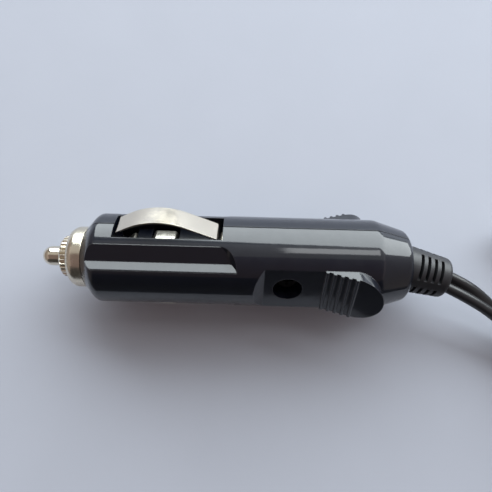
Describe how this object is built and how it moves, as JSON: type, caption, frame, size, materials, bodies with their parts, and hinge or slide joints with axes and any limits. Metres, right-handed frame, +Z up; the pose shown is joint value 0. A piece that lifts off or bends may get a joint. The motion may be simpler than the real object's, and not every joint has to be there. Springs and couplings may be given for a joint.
{
  "type": "cigarette lighter plug",
  "caption": "Vehicle accessory socket plug with sprung centre pin, two leaf contacts, inner fuse, strain relief and a twin lead to a small DC plug.",
  "frame": {"origin": "on the plug's axis, in the plain band of the barrel between the grooves and the grip", "axes": "+X along the plug's axis, from its tip to its cord end, with +Z up as the plug lies on a surface"},
  "size_m": [0.2036, 0.0552, 0.0236],
  "materials": {
    "shell": "black moulded plastic, semi-gloss",
    "cap": "warm nickel plate, satin",
    "pin": "nickel plate, polished",
    "spring_wire": "drawn spring wire",
    "fuse_metal": "plated fuse metal",
    "fuse_glass": "clear glass tube",
    "strip": "warm nickel plate, satin",
    "leaf": "warm nickel plate, satin",
    "screw": "zinc plated",
    "wire_red": "red wire insulation",
    "wire_black": "black wire insulation",
    "relief": "soft black moulded plastic",
    "lead": "smooth black twin lead",
    "dc_insulator": "black insulator"
  },
  "bodies": {
    "housing": {"shell_near": "shell", "shell_far": "shell", "pin_spring": "spring_wire", "fuse_cap_front": "fuse_metal", "fuse_cap_rear": "fuse_metal", "fuse_glass": "fuse_glass", "fuse_wire": "fuse_metal", "rear_contact": "strip", "ground_strap": "strip", "assembly_screw": "screw", "positive_wire": "wire_red", "negative_wire": "wire_black", "strain_relief": "relief", "cord_lead": "lead", "cord_coil": "lead", "cord_tail": "lead", "dc_overmould": "relief", "dc_barrel_sleeve": "pin", "dc_insulator": "dc_insulator", "dc_centre_contact": "pin"},
    "cap": {"nose_cap": "cap"},
    "pin": {"contact_pin": "pin"},
    "leaf_top": {"leaf_spring_top": "leaf"},
    "leaf_bottom": {"leaf_spring_bottom": "leaf"}
  },
  "joints": [
    {"name": "cap_off", "type": "slide", "parent": "housing", "child": "cap", "axis": [-1, 0, 0], "range_m": [0, 0.009]},
    {"name": "pin_press", "type": "slide", "parent": "cap", "child": "pin", "axis": [1, 0, 0], "range_m": [0, 0.0025], "stiffness_N_per_m": 1200, "springref_m": -0.0015, "deforming": ["pin_spring"]},
    {"name": "leaf_top_press", "type": "hinge", "parent": "housing", "child": "leaf_top", "pos_m": [-0.0056, 0.0045, 0.00523], "axis": [0, -0.7581, 0.6521], "range_deg": [0, 15], "stiffness_Nm_per_rad": 0.4, "springref_deg": -5.73},
    {"name": "leaf_bottom_press", "type": "hinge", "parent": "housing", "child": "leaf_bottom", "pos_m": [-0.0056, -0.0045, -0.00523], "axis": [0, 0.7581, -0.6521], "range_deg": [0, 15], "stiffness_Nm_per_rad": 0.4, "springref_deg": -5.73}
  ]
}
